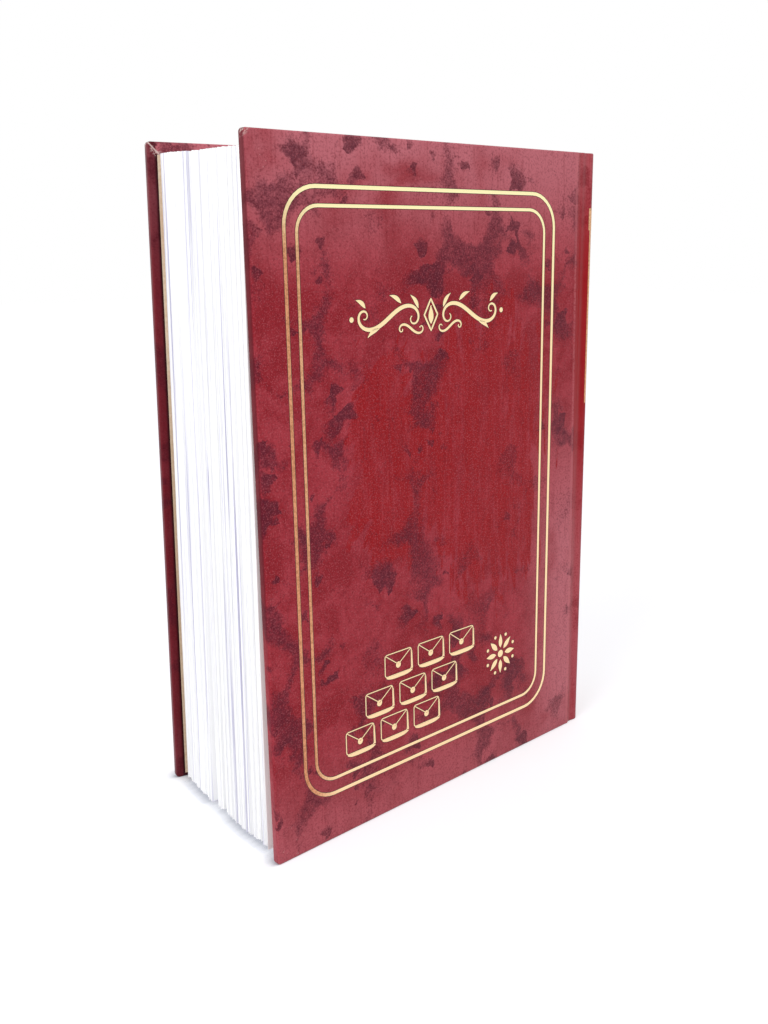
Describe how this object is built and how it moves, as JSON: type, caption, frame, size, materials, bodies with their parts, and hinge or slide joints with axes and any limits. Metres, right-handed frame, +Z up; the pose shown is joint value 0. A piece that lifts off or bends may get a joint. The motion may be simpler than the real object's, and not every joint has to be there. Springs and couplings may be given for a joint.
{
  "type": "case-bound register book",
  "caption": "Thick case-bound register standing on its tail edge: hinged boards in marbled covering, rounded spine, sewn sections that fan and turn, flyleaves, gauze and bands.",
  "frame": {"origin": "middle of the floor under the book, which stands on its tail edge", "axes": "+Z up from tail to head, +X towards the spine, -X towards the fore edge, -Y towards the front cover"},
  "size_m": [0.168, 0.0758, 0.24],
  "materials": {
    "marbled_covering": "laminated dark red marbled paper, semi-gloss",
    "greyboard": "plain grey board",
    "leaf_paper": "white writing paper, matt",
    "endpaper": "cream endpaper, matt",
    "gauze": "open-weave cotton gauze",
    "kraft_paper": "brown kraft paper",
    "linen_thread": "waxed linen thread",
    "band_cloth": "red cotton band"
  },
  "bodies": {
    "spine": {"spine_strip": "greyboard", "spine_covering": "marbled_covering", "section_10": "leaf_paper", "section_11": "leaf_paper", "mull": "gauze", "spine_lining": "kraft_paper", "head_band": "band_cloth", "tail_band": "band_cloth", "sewing_thread_1": "linen_thread", "sewing_thread_2": "linen_thread", "sewing_thread_3": "linen_thread", "sewing_thread_4": "linen_thread", "sewing_thread_5": "linen_thread"},
    "section_09": {"section_09": "leaf_paper"},
    "section_08": {"section_08": "leaf_paper"},
    "section_07": {"section_07": "leaf_paper"},
    "section_06": {"section_06": "leaf_paper"},
    "section_05": {"section_05": "leaf_paper"},
    "section_04": {"section_04": "leaf_paper"},
    "section_03": {"section_03": "leaf_paper"},
    "section_02": {"section_02": "leaf_paper"},
    "section_01": {"section_01": "leaf_paper"},
    "front_flyleaf": {"front_flyleaf": "endpaper", "front_endpaper_hinge": "endpaper"},
    "front_cover": {"front_board": "greyboard", "front_covering": "marbled_covering", "front_pastedown": "endpaper", "front_mull_flange": "gauze", "front_joint_covering": "marbled_covering"},
    "section_12": {"section_12": "leaf_paper"},
    "section_13": {"section_13": "leaf_paper"},
    "section_14": {"section_14": "leaf_paper"},
    "section_15": {"section_15": "leaf_paper"},
    "section_16": {"section_16": "leaf_paper"},
    "section_17": {"section_17": "leaf_paper"},
    "section_18": {"section_18": "leaf_paper"},
    "section_19": {"section_19": "leaf_paper"},
    "section_20": {"section_20": "leaf_paper"},
    "back_flyleaf": {"back_flyleaf": "endpaper", "back_endpaper_hinge": "endpaper"},
    "back_cover": {"back_board": "greyboard", "back_covering": "marbled_covering", "back_pastedown": "endpaper", "back_mull_flange": "gauze", "back_joint_covering": "marbled_covering"}
  },
  "joints": [
    {"name": "section_09_fold", "type": "hinge", "parent": "spine", "child": "section_09", "pos_m": [0.07705, -0.0176, 0.12], "axis": [0, 0, -1], "range_deg": [-6, 0.45], "deforming": ["mull", "spine_lining", "head_band", "tail_band", "sewing_thread_1", "sewing_thread_2", "sewing_thread_3", "sewing_thread_4", "sewing_thread_5"]},
    {"name": "section_08_fold", "type": "hinge", "parent": "section_09", "child": "section_08", "pos_m": [0.07705, -0.0176, 0.12], "axis": [0, 0, -1], "range_deg": [-6, 0.6]},
    {"name": "section_07_fold", "type": "hinge", "parent": "section_08", "child": "section_07", "pos_m": [0.07705, -0.0176, 0.12], "axis": [0, 0, -1], "range_deg": [-6, 0.4]},
    {"name": "section_06_fold", "type": "hinge", "parent": "section_07", "child": "section_06", "pos_m": [0.07705, -0.0176, 0.12], "axis": [0, 0, -1], "range_deg": [-6, 0.65]},
    {"name": "section_05_fold", "type": "hinge", "parent": "section_06", "child": "section_05", "pos_m": [0.07705, -0.0176, 0.12], "axis": [0, 0, -1], "range_deg": [-6, 0.5]},
    {"name": "section_04_fold", "type": "hinge", "parent": "section_05", "child": "section_04", "pos_m": [0.07705, -0.0176, 0.12], "axis": [0, 0, -1], "range_deg": [-6, 0.6]},
    {"name": "section_03_fold", "type": "hinge", "parent": "section_04", "child": "section_03", "pos_m": [0.07705, -0.0176, 0.12], "axis": [0, 0, -1], "range_deg": [-6, 0.45]},
    {"name": "section_02_fold", "type": "hinge", "parent": "section_03", "child": "section_02", "pos_m": [0.07705, -0.0176, 0.12], "axis": [0, 0, -1], "range_deg": [-6, 0.55]},
    {"name": "section_01_fold", "type": "hinge", "parent": "section_02", "child": "section_01", "pos_m": [0.07705, -0.0176, 0.12], "axis": [0, 0, -1], "range_deg": [-6, 0.85]},
    {"name": "front_flyleaf_fold", "type": "hinge", "parent": "section_01", "child": "front_flyleaf", "pos_m": [0.07705, -0.0176, 0.12], "axis": [0, 0, -1], "range_deg": [-90, 0.3]},
    {"name": "front_cover_joint", "type": "hinge", "parent": "front_flyleaf", "child": "front_cover", "pos_m": [0.07484, -0.02068, 0.12], "axis": [0, 0, 1], "range_deg": [-0.4, 174], "deforming": ["front_joint_covering", "front_endpaper_hinge"]},
    {"name": "section_12_fold", "type": "hinge", "parent": "spine", "child": "section_12", "pos_m": [0.07705, 0.0176, 0.12], "axis": [0, 0, 1], "range_deg": [-6, 0.4], "deforming": ["mull", "spine_lining", "head_band", "tail_band", "sewing_thread_1", "sewing_thread_2", "sewing_thread_3", "sewing_thread_4", "sewing_thread_5"]},
    {"name": "section_13_fold", "type": "hinge", "parent": "section_12", "child": "section_13", "pos_m": [0.07705, 0.0176, 0.12], "axis": [0, 0, 1], "range_deg": [-6, 1.3]},
    {"name": "section_14_fold", "type": "hinge", "parent": "section_13", "child": "section_14", "pos_m": [0.07705, 0.0176, 0.12], "axis": [0, 0, 1], "range_deg": [-6, 0.45]},
    {"name": "section_15_fold", "type": "hinge", "parent": "section_14", "child": "section_15", "pos_m": [0.07705, 0.0176, 0.12], "axis": [0, 0, 1], "range_deg": [-6, 0.55]},
    {"name": "section_16_fold", "type": "hinge", "parent": "section_15", "child": "section_16", "pos_m": [0.07705, 0.0176, 0.12], "axis": [0, 0, 1], "range_deg": [-6, 0.4]},
    {"name": "section_17_fold", "type": "hinge", "parent": "section_16", "child": "section_17", "pos_m": [0.07705, 0.0176, 0.12], "axis": [0, 0, 1], "range_deg": [-6, 0.5]},
    {"name": "section_18_fold", "type": "hinge", "parent": "section_17", "child": "section_18", "pos_m": [0.07705, 0.0176, 0.12], "axis": [0, 0, 1], "range_deg": [-6, 0.5]},
    {"name": "section_19_fold", "type": "hinge", "parent": "section_18", "child": "section_19", "pos_m": [0.07705, 0.0176, 0.12], "axis": [0, 0, 1], "range_deg": [-6, 0.4]},
    {"name": "section_20_fold", "type": "hinge", "parent": "section_19", "child": "section_20", "pos_m": [0.07705, 0.0176, 0.12], "axis": [0, 0, 1], "range_deg": [-6, 0.55]},
    {"name": "back_flyleaf_fold", "type": "hinge", "parent": "section_20", "child": "back_flyleaf", "pos_m": [0.07705, 0.0176, 0.12], "axis": [0, 0, 1], "range_deg": [-90, 0.3]},
    {"name": "back_cover_joint", "type": "hinge", "parent": "back_flyleaf", "child": "back_cover", "pos_m": [0.07484, 0.02068, 0.12], "axis": [0, 0, -1], "range_deg": [-0.4, 174], "deforming": ["back_joint_covering", "back_endpaper_hinge"]}
  ]
}
